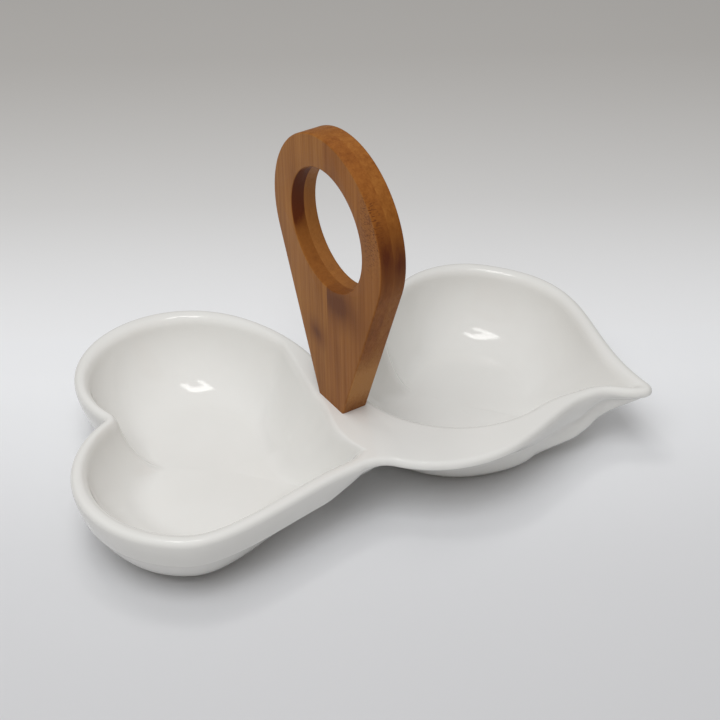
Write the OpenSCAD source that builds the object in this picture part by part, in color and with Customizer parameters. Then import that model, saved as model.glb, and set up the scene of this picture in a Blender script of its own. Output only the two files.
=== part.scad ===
// Twin heart serving dish with a bamboo ring handle.
// One glazed piece carries two heart bowls and a flat deck. The handle is four glued strips on two screws.
// Lengths are in millimetres. Plan positions are measured from the middle of the handle foot.

/* [Dish] */
// Height of the rim and the deck above the table
rim_height = 37; // [35.5:0.5:39]
// Radius of the rounded rim
rim_round = 2.6; // [2.2:0.1:2.8]
// Depth of both bowls below the rim
bowl_depth = 29.5; // [27:0.5:30.5]
// Height of the recess inside each foot ring
foot_recess = 3; // [2:0.5:3.5]
// Depth ground off the foot rings to make them flat
foot_trim = 0.8; // [0.6:0.1:1]
// Extra depth of the outer wall under a plain rim
rim_skirt = 8.8; // [7:0.2:9.6]
// Extra depth of the web under the deck
deck_web = 5; // [4:0.5:6]

/* [Left heart] */
// Back lobe centre, across
left_back_x = -47; // [-49:0.5:-45]
// Back lobe centre, away
left_back_y = 61; // [59:0.5:63]
// Back lobe rim radius
left_back_r = 45; // [43:0.5:47]
// Front lobe centre, across
left_front_x = -74; // [-76:0.5:-72]
// Front lobe centre, away
left_front_y = -3.5; // [-5:0.5:-2]
// Front lobe rim radius
left_front_r = 49; // [47:0.5:50]
// Waist of the front flank, across
left_waist_x = -23; // [-26:0.5:-21]
// Waist of the front flank, away
left_waist_y = -41.2; // [-42:0.2:-40]
// Width of the land at the point of the heart
left_point = 7; // [6.5:0.1:7.5]
// Bowl centre, across
left_mid_x = -50; // [-52:0.5:-48]
// Bowl centre, away
left_mid_y = 20; // [18:0.5:22]

/* [Right heart] */
// Front lobe centre, across
right_front_x = 35.5; // [34.5:0.5:36.5]
// Front lobe centre, away
right_front_y = -17.7; // [-18.5:0.1:-17]
// Front lobe rim radius
right_front_r = 48.6; // [47.6:0.1:49.6]
// Back lobe centre, across
right_back_x = 89.7; // [88.5:0.1:91]
// Back lobe centre, away
right_back_y = 31.7; // [30.5:0.1:33]
// Back lobe rim radius
right_back_r = 34.5; // [33.5:0.1:35.5]
// Waist of the front flank, across
right_waist_x = 87.5; // [85:0.5:89]
// Waist of the front flank, away
right_waist_y = -54.8; // [-56:0.2:-53]
// Tip of the heart, across
right_tip_x = 115.6; // [114:0.2:118]
// Tip of the heart, away
right_tip_y = -68.5; // [-69.5:0.1:-67.5]
// Bowl centre, across
right_mid_x = 62; // [60.5:0.5:63.5]
// Bowl centre, away
right_mid_y = 4; // [2.5:0.5:5.5]

/* [Deck] */
// Centre of the deck edge circle, across
deck_edge_x = 57.2; // [56.4:0.2:58]
// Centre of the deck edge circle, away
deck_edge_y = -4.2; // [-5:0.2:-3.4]
// Radius of the deck edge circle
deck_edge_r = 51; // [50:0.2:51.4]
// Wall between the deck edge and the outside
deck_wall = 4.5; // [4:0.1:5]
// Point on the deck edge over the left bowl, across
left_edge_x = -6.3; // [-6.9:0.1:-6.2]
// Point on the deck edge over the left bowl, away
left_edge_y = 9.6; // [9:0.1:10.2]
// Back corner between the hearts, across
back_join_x = 3.5; // [2.5:0.5:4.5]
// Back corner between the hearts, away
back_join_y = 24; // [23:0.5:25.5]

/* [Handle] */
// Thickness of the handle, two plies
handle_thick = 12; // [11:0.2:12.4]
// Width of the handle foot
handle_foot = 19.3; // [18.7:0.1:20]
// Height of the ring centre above the deck
ring_height = 86; // [80:1:92]
// Outer radius of the ring
ring_outer = 40.7; // [38:0.1:43]
// Radius of the finger hole
ring_hole = 26.6; // [24:0.1:28]
// Glue line of the front ply, away from the middle
front_glue_y = 0.5; // [0:0.1:1.5]
// Glue line of the back ply, away from the middle
back_glue_y = 7.6; // [7.2:0.1:8]

/* [Fixing] */
// Distance between the two screws
screw_pitch = 10; // [9.8:0.1:10.2]
// Screw shank diameter
screw_dia = 3.5; // [3:0.1:3.6]
// Screw head diameter
head_dia = 6.6; // [6:0.1:6.8]
// Screw head height
head_height = 2.4; // [2:0.1:2.6]
// Length of the shank inside the handle
bite_depth = 21; // [16:1:26]
// Washer diameter
washer_dia = 7.6; // [7.2:0.1:7.8]
// Washer thickness
washer_thick = 1.2; // [1:0.1:1.4]
// Deck thickness left over the fixing pocket
pocket_roof = 6; // [5.4:0.1:6.2]
// Width of the driver slots in the heads
slot_width = 1.1; // [0.9:0.1:1.3]
// Depth of the driver slots in the heads
slot_depth = 1.3; // [1:0.1:1.5]

/* [Clearances] */
// Radial clearance of the shanks in the deck
deck_clear = 0.4; // [0.3:0.05:0.5]
// Radial clearance of the shanks in the bamboo
bite_clear = 0.05; // [0.02:0.01:0.1]
// Clearance of the washers in the pocket
pocket_clear = 0.3; // [0.2:0.05:0.4]
// Space past the end of each screw
end_clear = 1; // [0.5:0.1:2]
// Overrun of every cut
overrun = 1; // [0.5:0.1:1.5]

/* [Hidden] */
round_facets = 64;
arc_facets = 128;

// Colours
glaze = [0.93, 0.93, 0.91];
bamboo = [0.62, 0.38, 0.19];
bamboo_dark = [0.55, 0.32, 0.15];
steel = [0.75, 0.76, 0.78];
silicone = [0.86, 0.86, 0.84];

// Steps along each piece of the outline
flank_steps = 6;
back_arc_steps = 16;
cleft_steps = 3;
front_arc_steps = 13;
long_flank_steps = 9;
short_flank_steps = 3;
corner_steps = 4;
lobe_arc_steps = 8;
right_flank_steps = 7;
tip_steps = 5;
tip_corner_steps = 3;
tip_flank_steps = 10;
cleft_curve_steps = 3;
deck_back_steps = 4;
seam_steps = 11;
lip_steps = 3;
wall_steps = 6;
skirt_steps = 5;

// Directions on the plan
left_back_leave = 43;
left_front_leave = 236;
front_join_turn = 211;
front_join_in = -11;
back_join_up = 84;
back_join_out = 12;
right_front_leave = 281;
tip_front_turn = -28;
tip_back_turn = 90;
right_back_enter = 41;
right_back_leave = 116;
right_cleft_turn = 82.5;
right_cleft_in = 260;
flange_start = 118;
flange_end = 275;
flange_fade = 22;
left_edge_turn = 78;
left_edge_start = -35;
left_edge_fade = 25;
left_tip_spread = 90;
right_tip_spread = 36;
right_edge_spread = 14;
left_ramp_turn = -25;
left_ramp_spread = 95;
right_ramp_spread = 40;

// Corner softness and curve reach, as shares of the lobe and ring sizes
cleft_share = 0.13;
corner_share = 0.14;
tip_run_share = 0.09;
back_low_share = 0.43;
back_high_share = 0.47;
shoulder_share = 0.40;
waist_share = 0.48;
waist_out_share = 0.14;
waist_end_share = 0.10;
right_shoulder_share = 0.35;
right_waist_share = 0.23;
right_out_share = 0.35;
right_tip_share = 0.23;
tip_low_share = 1.04;
tip_high_share = 1.16;
cleft_low_share = 0.31;
cleft_high_share = 0.30;
deck_back_share = 0.25;
seam_low_share = 0.58;
seam_high_share = 0.56;
seam_turn = 119;
seam_end_turn = 62;

// Bowl sections, as shares of the distance from the bowl centre and of the depth
lip_flat_share = 0.035;
lip_bend_share = 0.058;
lip_bend_drop_share = 0.6;
lip_share = 0.068;
lip_drop_share = 1.6;
wall_start_share = 0.116;
wall_drop_share = 0.57;
wall_end_share = 0.28;
floor_share = 0.47;
ramp_bend_share = 0.06;
ramp_bend_drop_share = 0.5;
ramp_lip_share = 0.085;
ramp_lip_drop_share = 1.3;
ramp_start_share = 0.185;
ramp_drop_share = 0.42;
ramp_end_share = 0.36;
ramp_floor_share = 0.62;
floor_mid_share = 0.75;
floor_dish_share = 0.03;
skirt_start_share = 0.085;
skirt_drop_share = 0.56;
skirt_end_share = 0.15;
skirt_low_share = 0.88;
foot_share = 0.344;
foot_in_share = 0.434;
foot_up_share = 0.464;
lip_under_share = 0.67;
half_share = 0.5;
edge_share = 0.15;
join_reach_share = 0.62;
flange_full_share = 0.32;
left_foot_tip_share = 0.46;
right_foot_tip_share = 0.42;
edge_soft_share = 0.6;
edge_face_share = 0.2;

// Plan points
left_back = [left_back_x, left_back_y];
left_front = [left_front_x, left_front_y];
left_waist = [left_waist_x, left_waist_y];
left_mid = [left_mid_x, left_mid_y];
right_front = [right_front_x, right_front_y];
right_back = [right_back_x, right_back_y];
right_waist = [right_waist_x, right_waist_y];
right_tip = [right_tip_x, right_tip_y];
right_mid = [right_mid_x, right_mid_y];
deck_edge = [deck_edge_x, deck_edge_y];
left_edge = [left_edge_x, left_edge_y];
back_join = [back_join_x, back_join_y];

// Plane helpers
function heading(turn) = [cos(turn), sin(turn)];
function turn_of(v) = (atan2(v[1], v[0]) + 360) % 360;
function lerp(a, b, t) = a + (b - a) * t;
function arc(mid, r, from, to, n) = [for (i = [0 : n]) mid + r * heading(lerp(from, to, i / n))];
function curve(a, b, c, d, n) =
  [for (i = [0 : n]) let (t = i / n, u = 1 - t)
    u * u * u * a + 3 * u * u * t * b + 3 * u * t * t * c + t * t * t * d];
function corner(a, b, c, n) =
  [for (i = [0 : n]) let (t = i / n, u = 1 - t) u * u * a + 2 * u * t * b + t * t * c];
function but_last(v) = [for (i = [0 : len(v) - 2]) v[i]];
function but_first(v) = [for (i = [1 : len(v) - 1]) v[i]];
function last(v) = v[len(v) - 1];
function flip(v) = [for (i = [len(v) - 1 : -1 : 0]) v[i]];
function clamp(t) = max(0, min(1, t));
function ease(t) = let (c = clamp(t)) c * c * (3 - 2 * c);
function arc_turn(run, r) = run / r * 180 / PI;
// Meeting point of two circles, on the left of the line between them
function meet(a, ra, b, rb) =
  let (gap = norm(b - a), along = (gap * gap + ra * ra - rb * rb) / (2 * gap), e = (b - a) / gap)
  a + along * e + sqrt(max(0, ra * ra - along * along)) * [-e[1], e[0]];
// Distance from a point to a circle around it, along a heading
function reach(from, mid, r, h) =
  let (off = mid - from, along = h * off) along + sqrt(max(0, along * along + r * r - off * off));

// Crest of the left heart, from the back corner round to the front corner
cleft_run = cleft_share * left_back_r;
corner_run = corner_share * right_front_r;
tip_run = tip_run_share * right_front_r;
front_join = right_front + right_front_r * heading(front_join_turn);
back_out = back_join + corner_run * heading(back_join_up);
back_in = back_join + corner_run * heading(back_join_out);
front_in = front_join - corner_run * heading(front_join_in);
front_out = right_front + right_front_r * heading(front_join_turn + arc_turn(corner_run, right_front_r));
back_corner = corner(back_in, back_join, back_out, corner_steps);
front_corner = corner(front_in, front_join, front_out, corner_steps);
// The deck edge leaves the front corner at its middle and the back corner near its start
front_split = corner_steps / 2;
back_split = corner_steps / 4;

left_top = left_back + left_back_r * heading(left_back_leave);
left_flank = curve(back_out, back_out + back_low_share * left_back_r * heading(back_join_up),
  left_top - back_high_share * left_back_r * heading(left_back_leave + 90), left_top, flank_steps);
left_cleft = meet(left_front, left_front_r, left_back, left_back_r);
left_back_arc = arc(left_back, left_back_r, left_back_leave,
  turn_of(left_cleft - left_back) - arc_turn(cleft_run, left_back_r), back_arc_steps);
left_front_arc = arc(left_front, left_front_r,
  turn_of(left_cleft - left_front) + arc_turn(cleft_run, left_front_r), left_front_leave, front_arc_steps);
left_low = last(left_front_arc);
left_front_flank = curve(left_low, left_low + shoulder_share * left_front_r * heading(left_front_leave + 90),
  left_waist - [waist_share * left_front_r, 0], left_waist, long_flank_steps);
left_end_flank = curve(left_waist, left_waist + [waist_out_share * left_front_r, 0],
  front_in - waist_end_share * left_front_r * heading(front_join_in), front_in, short_flank_steps);
left_crest = concat(
  [for (i = [back_split : corner_steps - 1]) back_corner[i]],
  but_last(left_flank), but_last(left_back_arc),
  but_last(corner(last(left_back_arc), left_cleft, left_front_arc[0], cleft_steps)),
  but_last(left_front_arc), but_last(left_front_flank), but_last(left_end_flank),
  [for (i = [0 : front_split - 1]) front_corner[i]]);

// Crest of the right heart, from the front corner round to the back corner
right_lobe_arc = arc(right_front, right_front_r, turn_of(front_out - right_front), right_front_leave,
  lobe_arc_steps);
right_low = last(right_lobe_arc);
right_front_flank = curve(right_low,
  right_low + right_shoulder_share * right_front_r * heading(right_front_leave + 90),
  right_waist - [right_waist_share * right_front_r, 0], right_waist, right_flank_steps);
tip_in = right_tip - tip_run * heading(tip_front_turn);
tip_out = right_tip + tip_run * heading(tip_back_turn);
right_tip_flank = curve(right_waist, right_waist + [right_out_share * right_front_r, 0],
  tip_in - right_tip_share * right_front_r * heading(tip_front_turn), tip_in, tip_steps);
right_top = right_back + right_back_r * heading(right_back_enter);
right_back_flank = curve(tip_out, tip_out + tip_low_share * right_front_r * heading(tip_back_turn),
  right_top - tip_high_share * right_front_r * heading(right_back_enter + 90), right_top, tip_flank_steps);
right_back_arc = arc(right_back, right_back_r, right_back_enter, right_back_leave, lobe_arc_steps);
right_cleft = right_front + right_front_r * heading(right_cleft_turn);
right_cleft_start = right_cleft - cleft_run * heading(right_cleft_in);
right_cleft_curve = curve(last(right_back_arc),
  last(right_back_arc) + cleft_low_share * right_front_r * heading(right_back_leave + 90),
  right_cleft_start - cleft_high_share * right_front_r * heading(right_cleft_in), right_cleft_start,
  cleft_curve_steps);
right_cleft_out = right_front
  + right_front_r * heading(right_cleft_turn + arc_turn(cleft_run, right_front_r));
deck_back = curve(right_cleft_out,
  right_cleft_out + deck_back_share * right_front_r * heading(turn_of(right_cleft_out - right_front) + 90),
  back_in + deck_back_share * right_front_r * heading(back_join_out), back_in, deck_back_steps);
right_crest = concat(
  [for (i = [front_split : corner_steps - 1]) front_corner[i]],
  but_last(right_lobe_arc), but_last(right_front_flank), but_last(right_tip_flank),
  but_last(corner(tip_in, right_tip, tip_out, tip_corner_steps)),
  but_last(right_back_flank), but_last(right_back_arc), but_last(right_cleft_curve),
  but_last(corner(right_cleft_start, right_cleft, right_cleft_out, cleft_steps)),
  but_last(deck_back),
  [for (i = [0 : back_split - 1]) back_corner[i]]);

// Edge of the deck over the left bowl, from the front corner to the back corner
seam_from = right_crest[0];
seam_to = left_crest[0];
seam = but_first(but_last(curve(seam_from, seam_from + seam_low_share * right_front_r * heading(seam_turn),
  seam_to - seam_high_share * right_front_r * heading(seam_end_turn), seam_to, seam_steps)));

crest = concat(left_crest, right_crest);
left_count = len(left_crest);
crest_count = len(crest);
seam_count = len(seam);
function ring_next(i) = (i + 1) % crest_count;
function ring_prev(i) = (i + crest_count - 1) % crest_count;
crest_out = [for (i = [0 : crest_count - 1])
  let (run = crest[ring_next(i)] - crest[ring_prev(i)]) [run[1], -run[0]] / norm(run)];
outer_edge = [for (i = [0 : crest_count - 1]) crest[i] + rim_round * crest_out[i]];
edge_xs = [for (p = outer_edge) p[0]];
edge_ys = [for (p = outer_edge) p[1]];
// The shared frame has its origin under the middle of the whole box
shift = -[max(edge_xs) + min(edge_xs), max(edge_ys) + min(edge_ys)] / 2;

// The walls lean in as slopes towards the point of a heart
function turn_gap(a, b) = let (gap = abs(a - b) % 360) min(gap, 360 - gap);
function tip_mix(mid, to_tip, spread, p) = ease(1 - turn_gap(turn_of(p - mid), to_tip) / spread);
left_tip_turn = turn_of(front_join - left_mid);
right_tip_turn = turn_of(right_tip - right_mid);

// Flat deck width at each rim point, along the line to the bowl centre
function flange_hold(turn) =
  turn < flange_start ? 0 : 1 - ease((turn - flange_end) / flange_fade);
function right_flange(p) =
  let (v = p - right_mid, far = norm(v), h = v / far)
  max(0, far - reach(right_mid, deck_edge, deck_edge_r, h)) * flange_hold(turn_of(v));
edge_soft = edge_soft_share * rim_round;
edge_side = heading(left_edge_turn - 90);
point_side = heading(left_tip_turn);
left_end = seam_from - left_point * point_side;
function over(d) = (d + sqrt(d * d + edge_soft * edge_soft)) / 2;
// Length past a straight edge through a point, for a rim point seen from the left bowl centre
function past_edge(p, at, side) =
  let (v = p - left_mid, far = norm(v), face = v * side / far)
  face <= edge_face_share ? 0 : over(far - (at - left_mid) * side / face);
function left_flange(p) = let (v = p - left_mid)
  max(past_edge(p, left_end, point_side),
      past_edge(p, left_edge, edge_side) * ease((atan2(v[1], v[0]) - left_edge_start) / left_edge_fade));

edge_gap = edge_share * rim_round;
rim_thick = 2 * rim_round;
join_reach = join_reach_share * right_front_r;
flange_full = flange_full_share * right_front_r;
// Share of a plain hanging edge, against a rim with a wall under it
function edge_mix(i) =
  i == 0 ? 1
    : i <= left_count
    ? ease(1 - min(norm(crest[i] - seam_from), norm(crest[i] - seam_to)) / join_reach)
    : max(ease(right_flange(crest[i]) / flange_full),
          tip_mix(right_mid, right_tip_turn, right_edge_spread, crest[i]));
function under_depth(i) = rim_thick + rim_skirt * (1 - edge_mix(i));
function seam_depth(k) = rim_thick + deck_web * sin(180 * (k + 1) / (seam_count + 1));

// Rim points: height is measured from the rim plane and raised to the table frame at the end
lip_rings = [for (k = [0 : lip_steps]) let (a = 90 - 90 * k / lip_steps)
  [for (i = [0 : crest_count - 1]) let (p = crest[i] + rim_round * sin(a) * crest_out[i])
    [p[0], p[1], -rim_round * (1 - cos(a))]]];
under_mid = [for (i = [0 : crest_count - 1]) let (p = crest[i] + lip_under_share * rim_round * crest_out[i])
  [p[0], p[1], -lerp(rim_round, under_depth(i), half_share)]];
under_in = [for (i = [0 : crest_count - 1]) [crest[i][0], crest[i][1], -under_depth(i)]];
seam_top = [for (p = seam) [p[0], p[1], 0]];
seam_low = [for (k = [0 : seam_count - 1]) [seam[k][0], seam[k][1], -seam_depth(k)]];

// Inner sections of a bowl, share of the way in and height: a plain wall, and a ramp towards its point
function inner_section(bend, bend_drop, lip, lip_drop, start, drop, end, floor) = concat(
  but_first(curve([0, 0], [lip_flat_share, 0], [bend, -bend_drop * rim_round], [lip, -lip_drop * rim_round],
    lip_steps)),
  but_first(curve([lip, -lip_drop * rim_round], [start, -drop * bowl_depth], [end, -bowl_depth],
    [floor, -bowl_depth], wall_steps)));
floor_low = bowl_depth * (1 + floor_dish_share);
floor_ring = [[floor_mid_share, -lerp(bowl_depth, floor_low, half_share)]];
wall_section = concat(inner_section(lip_bend_share, lip_bend_drop_share, lip_share, lip_drop_share,
  wall_start_share, wall_drop_share, wall_end_share, floor_share), floor_ring);
ramp_section = concat(inner_section(ramp_bend_share, ramp_bend_drop_share, ramp_lip_share,
  ramp_lip_drop_share, ramp_start_share, ramp_drop_share, ramp_end_share, ramp_floor_share), floor_ring);
// Outer section of a bowl: share of the way in, height between the rim underside and the table
skirt_section = but_first(curve([0, 0], [skirt_start_share, skirt_drop_share],
  [skirt_end_share, skirt_low_share], [foot_share, 1], skirt_steps));
foot_section = [[foot_in_share, -rim_height - foot_trim], [foot_up_share, foot_recess - rim_height]];

function toward(mid, p, far) = let (v = p - mid, q = mid + v / norm(v) * far) q;
function lift(q, z) = [q[0], q[1], z];
// Rings of one bowl, from its rim to its middle
function top_rings(mid, ramp_turn, ramp_spread, rim, wide) = concat(
  [[for (i = [0 : len(rim) - 1]) lift(toward(mid, rim[i], norm(rim[i] - mid) - wide[i] - edge_gap), 0)]],
  [for (k = [0 : len(wall_section) - 1]) [for (i = [0 : len(rim) - 1])
    let (far = norm(rim[i] - mid) - wide[i] - edge_gap)
    let (s = lerp(wall_section[k], ramp_section[k], tip_mix(mid, ramp_turn, ramp_spread, rim[i])))
    lift(toward(mid, rim[i], far * (1 - s[0])), s[1])]]);
function wall_far(mid, p, wide) = norm(p - mid) - edge_gap - max(0, wide - deck_wall);
foot_low = rim_height + foot_trim;
function low_rings(mid, tip_turn, spread, tip_share, rim, wide, under) = concat(
  [[for (i = [0 : len(rim) - 1]) lift(toward(mid, rim[i], wall_far(mid, rim[i], wide[i])), -under[i])]],
  [for (s = skirt_section) [for (i = [0 : len(rim) - 1])
    let (share = s[0] + tip_mix(mid, tip_turn, spread, rim[i]) * max(0, s[1] * tip_share - s[0]))
    let (far = wall_far(mid, rim[i], wide[i]) * (1 - share))
    lift(toward(mid, rim[i], far), -lerp(under[i], foot_low, s[1]))]],
  [for (s = foot_section) [for (i = [0 : len(rim) - 1])
    let (share = s[0] + tip_mix(mid, tip_turn, spread, rim[i]) * (tip_share - foot_share))
    lift(toward(mid, rim[i], wall_far(mid, rim[i], wide[i]) * (1 - share)), s[1])]]);

left_rim = concat(left_crest, [seam_from], seam);
left_wide = [for (p = left_rim) left_flange(p)];
left_under = concat([for (i = [0 : left_count]) under_depth(i)],
  [for (k = [0 : seam_count - 1]) seam_depth(k)]);
right_rim = concat(right_crest, [seam_to], flip(seam));
right_wide = [for (p = right_rim) right_flange(p)];
right_under = concat([for (i = [left_count : crest_count - 1]) under_depth(i)], [under_depth(0)],
  [for (k = [seam_count - 1 : -1 : 0]) seam_depth(k)]);

left_top_rings = top_rings(left_mid, left_ramp_turn, left_ramp_spread, left_rim, left_wide);
left_low_rings = low_rings(left_mid, left_tip_turn, left_tip_spread, left_foot_tip_share,
  left_rim, left_wide, left_under);
right_top_rings = top_rings(right_mid, right_tip_turn, right_ramp_spread, right_rim, right_wide);
right_low_rings = low_rings(right_mid, right_tip_turn, right_tip_spread, right_foot_tip_share,
  right_rim, right_wide, right_under);
floor_top = -floor_low;
table_half = right_tip_x - left_front_x + left_front_r;
floor_under = foot_recess - rim_height;

function flat(rings) = [for (ring = rings) for (p = ring) p];
lip_points = concat(flat(lip_rings), under_mid, under_in, seam_top, seam_low);
under_mid_at = (lip_steps + 1) * crest_count;
under_in_at = under_mid_at + crest_count;
seam_top_at = under_in_at + crest_count;
seam_low_at = seam_top_at + seam_count;
left_top_at = seam_low_at + seam_count;
left_low_at = left_top_at + len(left_top_rings) * len(left_rim);
right_top_at = left_low_at + len(left_low_rings) * len(left_rim);
right_low_at = right_top_at + len(right_top_rings) * len(right_rim);
mids_at = right_low_at + len(right_low_rings) * len(right_rim);
dish_points = concat(lip_points, flat(left_top_rings), flat(left_low_rings), flat(right_top_rings),
  flat(right_low_rings),
  [lift(left_mid, floor_top), lift(left_mid, floor_under),
   lift(right_mid, floor_top), lift(right_mid, floor_under)]);

// Triangles between two rings of points, facing up or down
function span(at, n) = [for (i = [0 : n - 1]) at + i];
function strip_up(a, b) = let (n = len(a)) [for (i = [0 : n - 1]) let (j = (i + 1) % n)
  each [[a[i], b[i], a[j]], [a[j], b[i], b[j]]]];
function strip_down(a, b) = let (n = len(a)) [for (i = [0 : n - 1]) let (j = (i + 1) % n)
  each [[a[i], a[j], b[i]], [a[j], b[j], b[i]]]];
function fan_up(a, mid) = let (n = len(a)) [for (i = [0 : n - 1]) [a[i], mid, a[(i + 1) % n]]];
function fan_down(a, mid) = let (n = len(a)) [for (i = [0 : n - 1]) [a[i], a[(i + 1) % n], mid]];
function stack_up(first, at, rings, n, mid) = concat(strip_up(first, span(at, n)),
  [for (k = [0 : rings - 2]) each strip_up(span(at + k * n, n), span(at + (k + 1) * n, n))],
  fan_up(span(at + (rings - 1) * n, n), mid));
function stack_down(first, at, rings, n, mid) = concat(strip_down(first, span(at, n)),
  [for (k = [0 : rings - 2]) each strip_down(span(at + k * n, n), span(at + (k + 1) * n, n))],
  fan_down(span(at + (rings - 1) * n, n), mid));

lip_top_at = lip_steps * crest_count;
function left_ids(rim_at, seam_at) = concat(span(rim_at, left_count + 1), span(seam_at, seam_count));
function right_ids(rim_at, seam_at) = concat(span(rim_at + left_count, crest_count - left_count), [rim_at],
  flip(span(seam_at, seam_count)));
dish_faces = concat(
  [for (k = [0 : lip_steps - 1])
    each strip_up(span(k * crest_count, crest_count), span((k + 1) * crest_count, crest_count))],
  strip_down(span(0, crest_count), span(under_mid_at, crest_count)),
  strip_down(span(under_mid_at, crest_count), span(under_in_at, crest_count)),
  stack_up(left_ids(lip_top_at, seam_top_at), left_top_at,
    len(left_top_rings), len(left_rim), mids_at),
  stack_down(left_ids(under_in_at, seam_low_at), left_low_at,
    len(left_low_rings), len(left_rim), mids_at + 1),
  stack_up(right_ids(lip_top_at, seam_top_at), right_top_at,
    len(right_top_rings), len(right_rim), mids_at + 2),
  stack_down(right_ids(under_in_at, seam_low_at), right_low_at,
    len(right_low_rings), len(right_rim), mids_at + 3));

// Handle outline: straight sides from the foot run tangent into the ring
foot_half = handle_foot / 2;
foot_reach = norm([foot_half, ring_height]);
side_turn = acos(ring_outer / foot_reach) - atan2(ring_height, foot_half);
side_point = [ring_outer * cos(side_turn), ring_height + ring_outer * sin(side_turn)];
ply_thick = handle_thick / 2;
bite_height = bite_depth + end_clear;
washer_top = rim_height - pocket_roof;
head_top = washer_top - washer_thick;
pocket_r = washer_dia / 2 + pocket_clear;
box_far = ring_height + 2 * ring_outer;
screw_spots = [-screw_pitch / 2, screw_pitch / 2];

module on_frame() {
  translate([shift[0], shift[1], 0]) children();
}

module fixing_pocket() {
  for (y = screw_spots) {
    translate([0, y, -overrun]) cylinder(h = washer_top + overrun, r = pocket_r, $fn = round_facets);
  }
}

module dish() {
  color(glaze) on_frame() difference() {
    translate([0, 0, rim_height]) polyhedron(points = dish_points, faces = dish_faces, convexity = 10);
    translate([-table_half, -table_half, -2 * foot_trim])
      cube([2 * table_half, 2 * table_half, 2 * foot_trim]);
    fixing_pocket();
    for (y = screw_spots) {
      translate([0, y, washer_top - overrun])
        cylinder(h = pocket_roof + 2 * overrun, d = screw_dia + 2 * deck_clear, $fn = round_facets);
    }
  }
}

module handle_outline() {
  difference() {
    union() {
      translate([0, ring_height]) circle(r = ring_outer, $fn = arc_facets);
      polygon([[-foot_half, 0], [foot_half, 0], side_point, [0, ring_height],
               [-side_point[0], side_point[1]]]);
    }
    translate([0, ring_height]) circle(r = ring_hole, $fn = arc_facets);
  }
}

// One strip: a ply of the handle outline on one side of its glue line, drilled for the screws
module strip(ply_from, glue_y, far_side) {
  on_frame() translate([0, 0, rim_height]) difference() {
    translate([ply_from, 0, 0]) rotate([90, 0, 90]) linear_extrude(height = ply_thick) intersection() {
      handle_outline();
      translate([far_side ? glue_y : glue_y - box_far, -overrun]) square([box_far, box_far]);
    }
    for (y = screw_spots) {
      translate([0, y, -overrun])
        cylinder(h = bite_height + overrun, d = screw_dia + 2 * bite_clear, $fn = round_facets);
    }
  }
}

module front_left_strip() {
  color(bamboo) strip(-ply_thick, front_glue_y, true);
}

module front_right_strip() {
  color(bamboo_dark) strip(-ply_thick, front_glue_y, false);
}

module back_left_strip() {
  color(bamboo_dark) strip(0, back_glue_y, true);
}

module back_right_strip() {
  color(bamboo) strip(0, back_glue_y, false);
}

module fixing_screws() {
  color(steel) on_frame() for (y = screw_spots) translate([0, y, 0]) difference() {
    union() {
      translate([0, 0, head_top - head_height]) cylinder(h = head_height, d = head_dia, $fn = round_facets);
      translate([0, 0, head_top - head_height / 2])
        cylinder(h = rim_height + bite_depth - head_top + head_height / 2, d = screw_dia, $fn = round_facets);
    }
    for (turn = [0, 90]) {
      translate([0, 0, head_top - head_height]) rotate(turn)
        cube([head_dia / 2, slot_width, 2 * slot_depth], center = true);
    }
  }
}

module screw_washers() {
  color(silicone) on_frame() for (y = screw_spots) translate([0, y, head_top]) difference() {
    cylinder(h = washer_thick, d = washer_dia, $fn = round_facets);
    translate([0, 0, -overrun])
      cylinder(h = washer_thick + 2 * overrun, d = screw_dia + deck_clear, $fn = round_facets);
  }
}

dish();
front_left_strip();
front_right_strip();
back_left_strip();
back_right_strip();
fixing_screws();
screw_washers();
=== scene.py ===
"""Looks for the twin heart serving dish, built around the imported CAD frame."""
import math

import bmesh
import bpy
import numpy as np
from mathutils import Matrix, Vector


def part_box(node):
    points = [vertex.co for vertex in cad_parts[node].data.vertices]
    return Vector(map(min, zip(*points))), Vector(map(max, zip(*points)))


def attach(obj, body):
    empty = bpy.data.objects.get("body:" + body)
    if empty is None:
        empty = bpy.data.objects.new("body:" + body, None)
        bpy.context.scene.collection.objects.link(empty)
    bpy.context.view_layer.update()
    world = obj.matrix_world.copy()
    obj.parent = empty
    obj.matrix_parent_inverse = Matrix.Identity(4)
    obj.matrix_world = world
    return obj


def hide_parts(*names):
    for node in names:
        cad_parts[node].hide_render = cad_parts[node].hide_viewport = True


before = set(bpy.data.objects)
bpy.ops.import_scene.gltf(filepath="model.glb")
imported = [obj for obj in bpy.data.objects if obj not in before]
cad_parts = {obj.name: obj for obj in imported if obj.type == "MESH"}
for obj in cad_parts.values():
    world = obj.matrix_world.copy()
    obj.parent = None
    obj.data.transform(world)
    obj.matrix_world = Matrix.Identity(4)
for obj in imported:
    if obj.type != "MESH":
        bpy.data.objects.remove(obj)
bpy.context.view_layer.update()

MM = 0.001
BODY = "root"

# Sizes of the dish in millimetres and degrees, the same as the CAD values
RIM_HEIGHT, RIM_ROUND, BOWL_DEPTH = 37.0, 2.6, 29.5
FOOT_RECESS, FOOT_TRIM, RIM_SKIRT, DECK_WEB, DECK_WALL = 3.0, 0.8, 8.8, 5.0, 4.5
LEFT_BACK, LEFT_BACK_R = np.array([-47.0, 61.0]), 45.0
LEFT_FRONT, LEFT_FRONT_R = np.array([-74.0, -3.5]), 49.0
LEFT_WAIST, LEFT_MID = np.array([-23.0, -41.2]), np.array([-50.0, 20.0])
RIGHT_FRONT, RIGHT_FRONT_R = np.array([35.5, -17.7]), 48.6
RIGHT_BACK, RIGHT_BACK_R = np.array([89.7, 31.7]), 34.5
RIGHT_WAIST, RIGHT_TIP = np.array([87.5, -54.8]), np.array([115.6, -68.5])
RIGHT_MID = np.array([62.0, 4.0])
DECK_EDGE, DECK_EDGE_R = np.array([57.2, -4.2]), 51.0
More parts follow.
